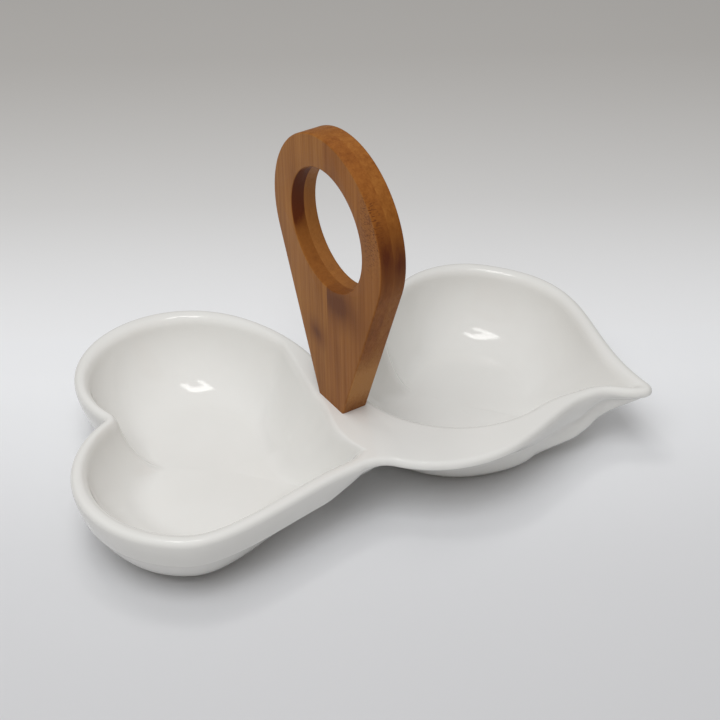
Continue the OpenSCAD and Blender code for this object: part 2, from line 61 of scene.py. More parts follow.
LEFT_EDGE, LEFT_EDGE_TURN = np.array([-6.3, 9.6]), 78.0
LEFT_POINT = 7.0
BACK_JOIN = np.array([3.5, 24.0])
LEFT_BACK_LEAVE, LEFT_FRONT_LEAVE = 43.0, 236.0
FRONT_JOIN_TURN, FRONT_JOIN_IN = 211.0, -11.0
BACK_JOIN_UP, BACK_JOIN_OUT = 84.0, 12.0
RIGHT_FRONT_LEAVE, TIP_FRONT_TURN, TIP_BACK_TURN = 281.0, -28.0, 90.0
RIGHT_BACK_ENTER, RIGHT_BACK_LEAVE = 41.0, 116.0
RIGHT_CLEFT_TURN, RIGHT_CLEFT_IN = 82.5, 260.0
FLANGE_START, FLANGE_END, FLANGE_FADE = 118.0, 275.0, 22.0
LEFT_EDGE_START, LEFT_EDGE_FADE = -35.0, 25.0
LEFT_TIP_SPREAD, RIGHT_TIP_SPREAD = 90.0, 36.0
RIGHT_EDGE_SPREAD = 14.0
LEFT_RAMP_TURN, LEFT_RAMP_SPREAD, RIGHT_RAMP_SPREAD = -25.0, 95.0, 40.0
SEAM_TURN, SEAM_END_TURN = 119.0, 62.0
LEFT_FOOT_TIP, RIGHT_FOOT_TIP = 0.46, 0.42
FOOT_SHARE, FOOT_IN_SHARE, FOOT_UP_SHARE = 0.344, 0.434, 0.464

# Rounding runs, and the pulls of the rim's curves at both ends, as shares of a lobe's radius
CLEFT_RUN, CORNER_RUN, TIP_RUN = 0.13, 0.14, 0.09
LEFT_FLANK_PULL, FRONT_FLANK_PULL, END_FLANK_PULL = (0.43, 0.47), (0.40, 0.48), (0.14, 0.10)
RIGHT_FLANK_PULL, TIP_FLANK_PULL, BACK_FLANK_PULL = (0.35, 0.23), (0.35, 0.23), (1.04, 1.16)
CLEFT_PULL, DECK_BACK_PULL, SEAM_PULL = (0.31, 0.30), (0.25, 0.25), (0.58, 0.56)

# Fades at the deck: two shares of the right front lobe's radius, then a share of the rim's round
# and the least cosine at which a heading counts as facing an edge
JOIN_FADE, FLANGE_RISE = 0.62, 0.32
EDGE_SOFT, LEAST_FACING = 0.6, 0.2

# Length from the crest of the rim, or from the deck's edge, to the start of a wall
EDGE_GAP = 0.15 * RIM_ROUND

# The inside: shares of the way in where the walls end and the floor's rings stop
WALL_END, RAMP_END, FLOOR_REACH = 0.47, 0.62, 0.94
FLOOR_LOW = BOWL_DEPTH * 1.03

# Curve under the rim: its pull outwards, and its two pulls downwards
UNDER_OUT, UNDER_FALL, UNDER_END = 0.45, 0.33, 0.67

# The scene's own values: the heading where the hollow beside the right tip starts, the share of
# the wall's height over which it fades, and the rounding of the tip's keel in degrees
RIGHT_HOLLOW, HOLLOW_END, KEEL = 259.0, 0.5, 7.0

# Handle and fixing
HANDLE_THICK, HANDLE_FOOT = 12.0, 19.3
RING_HEIGHT, RING_OUTER, RING_HOLE = 86.0, 40.7, 26.6
FRONT_GLUE, BACK_GLUE = 0.5, 7.6
SCREW_PITCH, BORE_DIA, DECK_HOLE_DIA = 10.0, 3.6, 4.3
POCKET_DIA, POCKET_TOP, BITE_HEIGHT = 8.2, 31.0, 22.0
EASED_EDGE = 0.7
CUT_PAST = 1.0

# Mesh fineness: counts of steps, and the shares of the deck's width where its rings lie
FINE = 6
LIP_STEPS, UNDER_STEPS, WALL_STEPS, FLOOR_STEPS, SKIRT_STEPS = 10, 8, 30, 8, 24
FOOT_STEPS, SIDE_STEPS, RING_STEPS, TOP_STEPS, STEM_STEPS = 6, 30, 96, 7, 19
EASE_STEPS, KEEL_STEPS, ROD_SIDES = 5, 12, 48
FLANGE_CUTS = (0.02, 0.06, 0.15, 0.3, 0.5, 0.7, 0.85, 0.94, 0.98)

# Turns in degrees past which an edge is shaded sharp
DISH_SHARP, STRIP_SHARP = 40, 35


def heading(turn):
    a = math.radians(turn)
    return np.array([math.cos(a), math.sin(a)])


def turn_of(v):
    return math.degrees(math.atan2(v[1], v[0])) % 360


def arc(mid, r, start, end, n):
    return [mid + r * heading(start + (end - start) * i / n) for i in range(n + 1)]


def curve(a, b, c, d, n):
    out = []
    for i in range(n + 1):
        t = i / n
        u = 1 - t
        out.append(u ** 3 * a + 3 * u * u * t * b + 3 * u * t * t * c + t ** 3 * d)
    return out


def flank(a, leave, b, arrive, r, pulls, n):
    """A curve from a to b, with its headings and pulls at both ends."""
    return curve(a, a + pulls[0] * r * heading(leave), b - pulls[1] * r * heading(arrive), b, n)


def corner(a, b, c, n):
    return [((1 - t) ** 2) * a + 2 * (1 - t) * t * b + t * t * c
            for t in np.linspace(0, 1, n + 1)]


def ease(t):
    t = np.clip(t, 0, 1)
    return t * t * (3 - 2 * t)


def arc_turn(run, r):
    return math.degrees(run / r)


def meet(a, ra, b, rb):
    """Where two circles cross, on the left of the way from a to b."""
    gap = np.linalg.norm(b - a)
    along = (gap * gap + ra * ra - rb * rb) / (2 * gap)
    e = (b - a) / gap
    return a + along * e + math.sqrt(max(0, ra * ra - along * along)) * np.array([-e[1], e[0]])


def dish_plan():
    """Crest of both hearts and the deck edge over the left bowl, in plan millimetres."""
    cleft_run = CLEFT_RUN * LEFT_BACK_R
    corner_run, tip_run = CORNER_RUN * RIGHT_FRONT_R, TIP_RUN * RIGHT_FRONT_R

    # Corners where the two hearts join, behind and in front
    front_join = RIGHT_FRONT + RIGHT_FRONT_R * heading(FRONT_JOIN_TURN)
    back_out = BACK_JOIN + corner_run * heading(BACK_JOIN_UP)
    back_in = BACK_JOIN + corner_run * heading(BACK_JOIN_OUT)
    front_in = front_join - corner_run * heading(FRONT_JOIN_IN)
    front_turn = FRONT_JOIN_TURN + arc_turn(corner_run, RIGHT_FRONT_R)
    front_out = RIGHT_FRONT + RIGHT_FRONT_R * heading(front_turn)
    n = 4 * FINE
    back_corner = corner(back_in, BACK_JOIN, back_out, n)
    front_corner = corner(front_in, front_join, front_out, n)
    back_split, front_split = n // 4, n // 2

    # Left heart
    left_top = LEFT_BACK + LEFT_BACK_R * heading(LEFT_BACK_LEAVE)
    left_flank = flank(back_out, BACK_JOIN_UP, left_top, LEFT_BACK_LEAVE + 90,
                       LEFT_BACK_R, LEFT_FLANK_PULL, 8 * FINE)
    left_cleft = meet(LEFT_FRONT, LEFT_FRONT_R, LEFT_BACK, LEFT_BACK_R)
    back_end = turn_of(left_cleft - LEFT_BACK) - arc_turn(cleft_run, LEFT_BACK_R)
    back_arc = arc(LEFT_BACK, LEFT_BACK_R, LEFT_BACK_LEAVE, back_end, 14 * FINE)
    front_start = turn_of(left_cleft - LEFT_FRONT) + arc_turn(cleft_run, LEFT_FRONT_R)
    front_arc = arc(LEFT_FRONT, LEFT_FRONT_R, front_start, LEFT_FRONT_LEAVE, 13 * FINE)
    front_flank = flank(front_arc[-1], LEFT_FRONT_LEAVE + 90, LEFT_WAIST, 0,
                        LEFT_FRONT_R, FRONT_FLANK_PULL, 9 * FINE)
    end_flank = flank(LEFT_WAIST, 0, front_in, FRONT_JOIN_IN,
                      LEFT_FRONT_R, END_FLANK_PULL, 3 * FINE)
    left = (back_corner[back_split:-1] + left_flank[:-1] + back_arc[:-1]
            + corner(back_arc[-1], left_cleft, front_arc[0], 3 * FINE)[:-1]
            + front_arc[:-1] + front_flank[:-1] + end_flank[:-1] + front_corner[:front_split])

    # Right heart
    lobe_arc = arc(RIGHT_FRONT, RIGHT_FRONT_R, turn_of(front_out - RIGHT_FRONT),
                   RIGHT_FRONT_LEAVE, 8 * FINE)
    right_flank = flank(lobe_arc[-1], RIGHT_FRONT_LEAVE + 90, RIGHT_WAIST, 0,
                        RIGHT_FRONT_R, RIGHT_FLANK_PULL, 7 * FINE)
    tip_in = RIGHT_TIP - tip_run * heading(TIP_FRONT_TURN)
    tip_out = RIGHT_TIP + tip_run * heading(TIP_BACK_TURN)
    tip_flank = flank(RIGHT_WAIST, 0, tip_in, TIP_FRONT_TURN,
                      RIGHT_FRONT_R, TIP_FLANK_PULL, 5 * FINE)
    right_top = RIGHT_BACK + RIGHT_BACK_R * heading(RIGHT_BACK_ENTER)
    back_flank = flank(tip_out, TIP_BACK_TURN, right_top, RIGHT_BACK_ENTER + 90,
                       RIGHT_FRONT_R, BACK_FLANK_PULL, 10 * FINE)
    right_arc = arc(RIGHT_BACK, RIGHT_BACK_R, RIGHT_BACK_ENTER, RIGHT_BACK_LEAVE, 6 * FINE)
    right_cleft = RIGHT_FRONT + RIGHT_FRONT_R * heading(RIGHT_CLEFT_TURN)
    cleft_in = right_cleft - cleft_run * heading(RIGHT_CLEFT_IN)
    cleft_curve = flank(right_arc[-1], RIGHT_BACK_LEAVE + 90, cleft_in, RIGHT_CLEFT_IN,
                        RIGHT_FRONT_R, CLEFT_PULL, 4 * FINE)
    cleft_turn = RIGHT_CLEFT_TURN + arc_turn(cleft_run, RIGHT_FRONT_R)
    cleft_out = RIGHT_FRONT + RIGHT_FRONT_R * heading(cleft_turn)
    deck_back = flank(cleft_out, turn_of(cleft_out - RIGHT_FRONT) + 90, back_in,
                      BACK_JOIN_OUT + 180, RIGHT_FRONT_R, DECK_BACK_PULL, 4 * FINE)
    right = (front_corner[front_split:-1] + lobe_arc[:-1] + right_flank[:-1] + tip_flank[:-1]
             + corner(tip_in, RIGHT_TIP, tip_out, 3 * FINE)[:-1] + back_flank[:-1]
             + right_arc[:-1] + cleft_curve[:-1]
             + corner(cleft_in, right_cleft, cleft_out, 3 * FINE)[:-1]
             + deck_back[:-1] + back_corner[:back_split])

    # Deck edge over the left bowl
    seam = flank(right[0], SEAM_TURN, left[0], SEAM_END_TURN,
                 RIGHT_FRONT_R, SEAM_PULL, 11 * FINE)[1:-1]
    return np.array(left), np.array(right), np.array(seam), front_join


LEFT, RIGHT, SEAM, FRONT_JOIN = dish_plan()
CREST = np.vstack([LEFT, RIGHT])
SEAM_FROM, SEAM_TO = RIGHT[0], LEFT[0]
N_LEFT, N_CREST, N_SEAM = len(LEFT), len(CREST), len(SEAM)
CREST_RUN = np.roll(CREST, -1, 0) - np.roll(CREST, 1, 0)
CREST_OUT = (np.stack([CREST_RUN[:, 1], -CREST_RUN[:, 0]], 1)
             / np.linalg.norm(CREST_RUN, axis=1)[:, None])

# Where the plan's origin, the middle of the handle's foot, lies in the row frame
HANDLE_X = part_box("back_left_strip")[0][0] / MM
SCREW_LOW, SCREW_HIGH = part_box("fixing_screws")
SHIFT = np.array([HANDLE_X, (SCREW_LOW[1] + SCREW_HIGH[1]) / 2 / MM])


def reach(start, mid, r, h):
    """Length along h from a start inside a circle to the circle."""
    off = mid - start
    along = h @ off
    return along + math.sqrt(max(0, along * along + r * r - off @ off))


def over(d, soft):
    """The positive part of d, with a soft start."""
    return (d + math.sqrt(d * d + soft * soft)) / 2


def right_flange(p):
    """Width of the flat deck at a rim point of the right bowl."""
    v = p - RIGHT_MID
    far = np.linalg.norm(v)
    turn = turn_of(v)
    hold = 0 if turn < FLANGE_START else 1 - ease((turn - FLANGE_END) / FLANGE_FADE)
    return max(0, far - reach(RIGHT_MID, DECK_EDGE, DECK_EDGE_R, v / far)) * hold


def past_edge(p, edge_at, side):
    """Length past a straight edge, for a rim point seen from the left bowl's middle."""
    v = p - LEFT_MID
    far = np.linalg.norm(v)
    facing = (v / far) @ side
    if facing <= LEAST_FACING:
        return 0.0
    return over(far - ((edge_at - LEFT_MID) @ side) / facing, EDGE_SOFT * RIM_ROUND)


def left_flange(p):
    """Width of the flat deck at a rim point of the left bowl."""
    turn = (turn_of(p - LEFT_MID) + 180) % 360 - 180
    to_point = heading(turn_of(FRONT_JOIN - LEFT_MID))
    point = past_edge(p, SEAM_FROM - LEFT_POINT * to_point, to_point)
    edge = past_edge(p, LEFT_EDGE, heading(LEFT_EDGE_TURN - 90))
    return max(point, edge * float(ease((turn - LEFT_EDGE_START) / LEFT_EDGE_FADE)))


def tip_mix(mid, to_tip, spread, rim):
    """1 at the rim points that lie at heading to_tip from mid, 0 beyond the spread."""
    out = []
    for p in rim:
        gap = abs(turn_of(p - mid) - to_tip % 360)
        out.append(float(ease(1 - min(gap, 360 - gap) / spread)))
    return np.array(out)


def edge_mixes():
    """1 at a plain plate edge, 0 at a rim with a wall under it."""
    out = [1.0]
    for p in CREST[1:N_LEFT + 1]:
        near = min(np.linalg.norm(p - SEAM_FROM), np.linalg.norm(p - SEAM_TO))
        out.append(float(ease(1 - near / (JOIN_FADE * RIGHT_FRONT_R))))
    rest = CREST[N_LEFT + 1:]
    tips = tip_mix(RIGHT_MID, turn_of(RIGHT_TIP - RIGHT_MID), RIGHT_EDGE_SPREAD, rest)
    for p, tip in zip(rest, tips):
        out.append(max(float(ease(right_flange(p) / (FLANGE_RISE * RIGHT_FRONT_R))), tip))
    return np.array(out)


UNDER = 2 * RIM_ROUND + RIM_SKIRT * (1 - edge_mixes())
SEAM_DEPTH = 2 * RIM_ROUND + DECK_WEB * np.sin(np.pi * (np.arange(N_SEAM) + 1) / (N_SEAM + 1))


def section_curve(points, n):
    return [tuple(p) for p in curve(*[np.array(p, float) for p in points], n)][1:]


# Two inner sections, share of the way in and height: a plain wall, and a ramp towards the point
# of a heart
WALL_LIP, RAMP_LIP = (0.068, -1.6 * RIM_ROUND), (0.085, -1.3 * RIM_ROUND)
WALL_SECTION = (
    section_curve([(0, 0), (0.035, 0), (0.058, -0.6 * RIM_ROUND), WALL_LIP], LIP_STEPS)
    + section_curve([WALL_LIP, (0.116, -0.57 * BOWL_DEPTH), (0.28, -BOWL_DEPTH),
                     (WALL_END, -BOWL_DEPTH)], WALL_STEPS))
RAMP_SECTION = (
    section_curve([(0, 0), (0.035, 0), (0.060, -0.5 * RIM_ROUND), RAMP_LIP], LIP_STEPS)
    + section_curve([RAMP_LIP, (0.185, -0.42 * BOWL_DEPTH), (0.36, -BOWL_DEPTH),
                     (RAMP_END, -BOWL_DEPTH)], WALL_STEPS))

# The outer wall, share of the way in and of the way down, then the foot, share of the way in and
# height over the table, and how far in a tip may move a foot ring
SKIRT_SECTION = section_curve([(0, 0), (0.085, 0.56), (0.15, 0.88), (FOOT_SHARE, 1)], SKIRT_STEPS)
FOOT_SECTION = (
    (FOOT_SHARE + 0.045, 0), (FOOT_IN_SHARE - 0.006, 0), (FOOT_IN_SHARE + 0.006, 0.6),
    (FOOT_IN_SHARE + 0.016, 1.9), (FOOT_UP_SHARE, FOOT_RECESS - 0.3),
    (FOOT_UP_SHARE + 0.02, FOOT_RECESS), (0.72, FOOT_RECESS))
FOOT_LIMIT = 0.9


def hollow_fill(unit, turns, wall, start, end):
    """Extra reach that brings the hollow side of a wall, between two headings, to a line."""
    a, b = (unit[i] * wall[i] for i in (np.argmin(abs(turns - start)),
                                        np.argmin(abs(turns - end))))
    across = np.array([a[1] - b[1], b[0] - a[0]])
    between = (turns > start) & (turns < end)
    line = (a @ across) / np.where(between, unit @ across, 1.0)
    return np.where(between, np.maximum(0, line - wall), 0.0)


def bowl_rings(bowl, rim, wide, under):
    """Rings of one bowl from its rim inwards: the inside, and the outside to the foot's recess."""
    mid, foot_tip, hollow = bowl["mid"], bowl["foot_tip"], bowl["hollow"]
    v = rim - mid
    far = np.linalg.norm(v, axis=1)
    unit = v / far[:, None]
    turns = np.array([turn_of(u) for u in unit])
    ramp = tip_mix(mid, *bowl["ramp"], rim)
    mix = tip_mix(mid, *bowl["tip"], rim)

    def ring(reach_out, z):
        z = np.broadcast_to(z, far.shape)
        return np.column_stack([mid + unit * reach_out[:, None], z])

    def filled(reach_out, share):
        """The reach with a share of the hollow filled and the tip's keel rounded."""
        if hollow is None:
            return reach_out
        full = reach_out + hollow_fill(unit, turns, reach_out, hollow, bowl["tip"][0])
        soft = np.mean([np.interp(turns + d, turns, full, period=360)
                        for d in np.linspace(-KEEL, KEEL, KEEL_STEPS + 1)], axis=0)
        return reach_out + share * (full + mix * (soft - full) - reach_out)

    inside = far - wide - EDGE_GAP
    top = [ring(far - (far - inside) * c, 0) for c in FLANGE_CUTS] + [ring(inside, 0)]
    for (s, z), (rs, rz) in zip(WALL_SECTION, RAMP_SECTION):
        top.append(ring(inside * (1 - s - (rs - s) * ramp), z + (rz - z) * ramp))
    start = WALL_END + (RAMP_END - WALL_END) * ramp
    for t in np.linspace(0, FLOOR_REACH, FLOOR_STEPS + 1)[1:]:
        fall = (FLOOR_LOW - BOWL_DEPTH) * float(ease(t))
        top.append(ring(inside * (1 - start) * (1 - t), -BOWL_DEPTH - fall))

    wall = far - EDGE_GAP - np.maximum(0, wide - DECK_WALL)
    low = [ring(far - (far - wall) * c, -under) for c in FLANGE_CUTS] + [ring(wall, -under)]
    foot_low = RIM_HEIGHT + FOOT_TRIM
    for share, t in SKIRT_SECTION:
        lean = share + mix * max(0, t * foot_tip - share)
        low.append(ring(filled(wall * (1 - lean), float(ease(t / HOLLOW_END))),
                        -np.minimum(under + (foot_low - under) * t, RIM_HEIGHT)))
    for share, height in FOOT_SECTION:
        lean = share + mix * np.minimum(foot_tip - FOOT_SHARE, FOOT_LIMIT - share)
        low.append(ring(filled(wall * (1 - lean), 1.0), height - RIM_HEIGHT))
    return top, low


def dish_mesh():
    """Points in metres and faces of the whole dish, without the screw holes."""
    points, faces = [], []

    def add(ring):
        points.extend(np.asarray(ring, float))
        return list(range(len(points) - len(ring), len(points)))

    def band(a, b, up):
        for i in range(len(a)):
            j = (i + 1) % len(a)
            quad = [a[i], a[j], b[j], b[i]]
            faces.append(quad if up else quad[::-1])

    def cap(a, mid, up):
        for i in range(len(a)):
            tri = [a[i], a[(i + 1) % len(a)], mid]
            faces.append(tri if up else tri[::-1])

    def off(out, z):
        p = CREST + CREST_OUT * np.broadcast_to(out, (N_CREST,))[:, None]
        return np.column_stack([p, np.broadcast_to(z, (N_CREST,))])

    lip = [add(off(RIM_ROUND * math.sin(a), -RIM_ROUND * (1 - math.cos(a))))
           for a in np.linspace(math.pi / 2, 0, LIP_STEPS + 1)]
    for a, b in zip(lip, lip[1:]):
        band(a, b, True)
    under = [lip[0]]
    drop = UNDER - RIM_ROUND
    for t in np.linspace(0, 1, UNDER_STEPS + 1)[1:]:
        u = 1 - t
        out = RIM_ROUND * (u ** 3 + 3 * u * u * t + 3 * u * t * t * UNDER_OUT)
        fall = 3 * u * u * t * UNDER_FALL + 3 * u * t * t * UNDER_END + t ** 3
        under.append(add(off(out, -RIM_ROUND - drop * fall)))
    for a, b in zip(under, under[1:]):
        band(a, b, False)
    top_crest, low_crest = lip[-1], under[-1]
    seam_top = add(np.column_stack([SEAM, np.zeros(N_SEAM)]))
    seam_low = add(np.column_stack([SEAM, -SEAM_DEPTH]))

    def left_part(crest, seam):
        return np.concatenate([crest[:N_LEFT + 1], seam])

    def right_part(crest, seam):
        return np.concatenate([crest[N_LEFT:], crest[:1], seam[::-1]])

    # For each bowl, the headings and spreads of its ramp inside and of its tip outside
    to_join, to_tip = turn_of(FRONT_JOIN - LEFT_MID), turn_of(RIGHT_TIP - RIGHT_MID)
    left_bowl = {"mid": LEFT_MID, "foot_tip": LEFT_FOOT_TIP, "hollow": None,
                 "ramp": (LEFT_RAMP_TURN, LEFT_RAMP_SPREAD), "tip": (to_join, LEFT_TIP_SPREAD)}
    right_bowl = {"mid": RIGHT_MID, "foot_tip": RIGHT_FOOT_TIP, "hollow": RIGHT_HOLLOW,
                  "ramp": (to_tip, RIGHT_RAMP_SPREAD), "tip": (to_tip, RIGHT_TIP_SPREAD)}
    for bowl, part, flange in ((left_bowl, left_part, left_flange),
                               (right_bowl, right_part, right_flange)):
        rim = part(CREST, SEAM)
        wide = np.array([flange(p) for p in rim])
        top, low = bowl_rings(bowl, rim, wide, part(UNDER, SEAM_DEPTH))
        for rings, first, up, z in (
                (top, part(top_crest, seam_top), True, -FLOOR_LOW),
                (low, part(low_crest, seam_low), False, FOOT_RECESS - RIM_HEIGHT)):
            last = [int(i) for i in first]
            for ring in rings:
                new = add(ring)
                band(last, new, up)
                last = new
            cap(last, add([[*bowl["mid"], z]])[0], up)
    points = (np.array(points) + np.array([SHIFT[0], SHIFT[1], RIM_HEIGHT])) * MM
    return points, faces


def make_object(name, points, faces, sharp=DISH_SHARP):
    mesh = bpy.data.meshes.new(name)
    mesh.from_pydata([tuple(p) for p in points], [], faces)
    mesh.validate()
    obj = bpy.data.objects.new(name, mesh)
    bpy.context.scene.collection.objects.link(obj)
    bm = bmesh.new()
    bm.from_mesh(mesh)
    bmesh.ops.recalc_face_normals(bm, faces=bm.faces)
    bm.to_mesh(mesh)
    bm.free()
    mesh.shade_smooth()
    mesh.set_sharp_from_angle(angle=math.radians(sharp))
    return obj


def rod(y, low, high, dia):
    """An upright cutting cylinder on the handle's middle plane, given in row millimetres."""
    bm = bmesh.new()
    middle = Matrix.Translation((SHIFT[0] * MM, y * MM, (low + high) / 2 * MM))
    bmesh.ops.create_cone(bm, cap_ends=True, segments=ROD_SIDES, radius1=dia / 2 * MM,
                          radius2=dia / 2 * MM, depth=(high - low) * MM, matrix=middle)
    mesh = bpy.data.meshes.new("cutter")
    bm.to_mesh(mesh)
    bm.free()
    obj = bpy.data.objects.new("cutter", mesh)
    bpy.context.scene.collection.objects.link(obj)
    return obj


def cut(obj, cutters, sharp=DISH_SHARP):
    """Subtracts the cutters from obj and removes them."""
    for c in cutters:
        m = obj.modifiers.new("cut", "BOOLEAN")
        m.operation, m.solver, m.object = "DIFFERENCE", "EXACT", c
    bpy.context.view_layer.update()
    cut_obj = obj.evaluated_get(bpy.context.evaluated_depsgraph_get())
    done = bpy.data.meshes.new_from_object(cut_obj)
    obj.modifiers.clear()
    old = obj.data
    done.name = old.name
    obj.data = done
    bpy.data.meshes.remove(old)
    for c in cutters:
        mesh = c.data
        bpy.data.objects.remove(c)
        bpy.data.meshes.remove(mesh)
    done.shade_smooth()
    done.set_sharp_from_angle(angle=math.radians(sharp))


SCREW_YS = [SHIFT[1] - SCREW_PITCH / 2, SHIFT[1] + SCREW_PITCH / 2]

dish = make_object("twin_heart_dish", *dish_mesh())
cut(dish, [rod(y, -CUT_PAST, POCKET_TOP, POCKET_DIA) for y in SCREW_YS]
    + [rod(y, POCKET_TOP - CUT_PAST, RIM_HEIGHT + CUT_PAST, DECK_HOLE_DIA) for y in SCREW_YS])
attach(dish, BODY)
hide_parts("dish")

# Handle strips: the outline on one side of a glue line, with eased outer edges
FOOT_HALF = HANDLE_FOOT / 2
FOOT_REACH = math.hypot(FOOT_HALF, RING_HEIGHT)
SIDE_TURN = math.acos(RING_OUTER / FOOT_REACH) - math.atan2(RING_HEIGHT, FOOT_HALF)


def strip_outline(glue, inset):
    """Outline of a strip beyond y = glue, as (y, height) points, the same count for any inset."""
    outer, hole = RING_OUTER - inset, RING_HOLE + inset
    foot = FOOT_HALF - inset / math.cos(SIDE_TURN)
    tangent = (outer * math.cos(SIDE_TURN), RING_HEIGHT + outer * math.sin(SIDE_TURN))
    top, rim = math.acos(glue / outer), math.acos(glue / hole)
    glue_top = RING_HEIGHT + outer * math.sin(top)
    hole_top, hole_low = (RING_HEIGHT + hole * math.sin(a) for a in (rim, -rim))
    path = [(glue + (foot - glue) * t, 0) for t in np.linspace(0, 1, FOOT_STEPS + 1)[:-1]]
    path += [(foot + (tangent[0] - foot) * t, tangent[1] * t)
             for t in np.linspace(0, 1, SIDE_STEPS + 1)[:-1]]
    path += [(outer * math.cos(a), RING_HEIGHT + outer * math.sin(a))
             for a in np.linspace(SIDE_TURN, top, RING_STEPS + 1)]
    path += [(glue, h) for h in np.linspace(glue_top, hole_top, TOP_STEPS + 1)[1:-1]]
    path += [(hole * math.cos(a), RING_HEIGHT + hole * math.sin(a))
             for a in np.linspace(rim, -rim, RING_STEPS + 1)]
    path += [(glue, h) for h in np.linspace(hole_low, 0, STEM_STEPS + 1)[1:-1]]
    return np.array(path)


def make_strip(name, node, front, glue, far):
    """A glued strip: front or back ply, on the far or near side of its glue line."""
    side = 1 if far else -1
    depth = HANDLE_THICK / 2
    steps = [(EASED_EDGE * (1 - math.sin(a)), depth - EASED_EDGE * (1 - math.cos(a)))
             for a in np.linspace(0, math.pi / 2, EASE_STEPS + 1)] + [(0, 0)]
    points, rings = [], []
    for inset, x in steps:
        path = strip_outline(side * glue, inset)
        rings.append(list(range(len(points), len(points) + len(path))))
        row_x = SHIFT[0] + (-x if front else x)
        for y, h in path:
            points.append((row_x * MM, (SHIFT[1] + side * y) * MM, (RIM_HEIGHT + h) * MM))
    faces = [rings[0], rings[-1][::-1]]
    for a, b in zip(rings, rings[1:]):
        for i in range(len(a)):
            j = (i + 1) % len(a)
            faces.append([a[i], b[i], b[j], a[j]])
    strip = make_object(name, points, faces, STRIP_SHARP)
    cut(strip, [rod(y, RIM_HEIGHT - CUT_PAST, RIM_HEIGHT + BITE_HEIGHT, BORE_DIA)
                for y in SCREW_YS], STRIP_SHARP)
    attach(strip, BODY)
    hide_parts(node)
    return strip


strips = {
    "front_left": make_strip("bamboo_front_left", "front_left_strip",
                             True, FRONT_GLUE, True),
    "front_right": make_strip("bamboo_front_right", "front_right_strip",
                              True, FRONT_GLUE, False),
    "back_left": make_strip("bamboo_back_left", "back_left_strip",
                            False, BACK_GLUE, True),
    "back_right": make_strip("bamboo_back_right", "back_right_strip",
                             False, BACK_GLUE, False),
}

# Colours: pairs that a noise mixes between its low and its high value, and the glaze's specks
NOISE_LOW, NOISE_HIGH = 0.3, 0.7
GLAZE_TONES = (0.815, 0.808, 0.78), (0.835, 0.83, 0.805)
BISCUIT_TONES = (0.62, 0.57, 0.50), (0.72, 0.67, 0.60)
STEEL_TONES = (0.50, 0.50, 0.51), (0.68, 0.68, 0.70)
RUBBER_TONES = (0.66, 0.66, 0.64), (0.74, 0.74, 0.72)
PAPER_TONES = (0.915, 0.925, 0.945), (0.930, 0.940, 0.960)
SPECK_STOPS = [(0.70, (1, 1, 1)), (0.78, (0.965, 0.96, 0.95))]

# Glaze: grains per metre, heights in metres between which the bare foot ends, and roughness
GLAZE_SOFT, GLAZE_FINE, GLAZE_WAVE, BISCUIT_GRAIN = 28, 900, 55, 1500
BARE_LOW, BARE_HIGH = 0.0004, 0.0012
GLAZE_ROUGH, BARE_ROUGH, GLAZE_IOR = (0.07, 0.12), 0.6, 1.5

# Bamboo: grains per metre, shakes in metres, shares of the grains in the tone, and masks
FIBRE_GRAIN, BUNDLE_GRAIN, CLOUD_GRAIN = (1500, 1500, 16), (420, 420, 7), (70, 70, 20)
WARP_GRAIN, DASH_GRAIN = (60, 60, 12), (500, 700, 2200)
FIBRE_SHAKE, PATCH_SHAKE = (0.0016, 0.0016, 0.004), (0.004, 0.010, 0.016)
FIBRE_SHARE, BUNDLE_SHARE, GRAIN_SHARE, CLOUD_SHARE = 0.45, 0.55, 0.7, 0.3
TONE_DARK, TONE_MID, TONE_LIGHT = 0.34, 0.5, 0.66
EDGE_FULL, EDGE_NONE = 0.55, 0.9
DASH_NONE, DASH_FULL = 0.53, 0.60
STREAK, BAMBOO_ROUGH, BAMBOO_SPECULAR = (0.7, 1.25), (0.5, 0.38), 0.12

# Bamboo colours: light, mid and dark of a strip, then the colours of its patches and edges
PLAIN_TONES = (0.435, 0.190, 0.047), (0.345, 0.137, 0.031), (0.24, 0.085, 0.017)
DEEP_TONES = (0.40, 0.162, 0.038), (0.315, 0.118, 0.026), (0.215, 0.071, 0.014)
PALE_TONES = (0.43, 0.190, 0.052), (0.345, 0.142, 0.036), (0.24, 0.088, 0.020)
# The colour of the bamboo's nodes, then painted shade for the darkest parts of the edges and the
# hole's wall
NODE_SHADE, DEEP_PAINTED_SHADE = (0.155, 0.047, 0.012), (0.115, 0.026, 0.006)
HOLE_SHADE, HOLE_PALE = (0.22, 0.078, 0.018), (0.38, 0.160, 0.044)
# Painted shade that darkens every edge face of a strip, then a paler colour low on an edge
EDGE_PAINTED_SHADE, EDGE_PALE = (0.84, 0.74, 0.60), (0.44, 0.200, 0.058)

# Screws and washers: grains per metre and roughness
STEEL_GRAIN, STEEL_ROUGH = (4000, 4000, 300), (0.22, 0.38)
RUBBER_GRAIN, RUBBER_ROUGH = 2600, (0.55, 0.7)

# Sockets of the mix node for colours
MIX_FACTOR, MIX_A, MIX_B, MIX_OUT = 0, 6, 7, 2


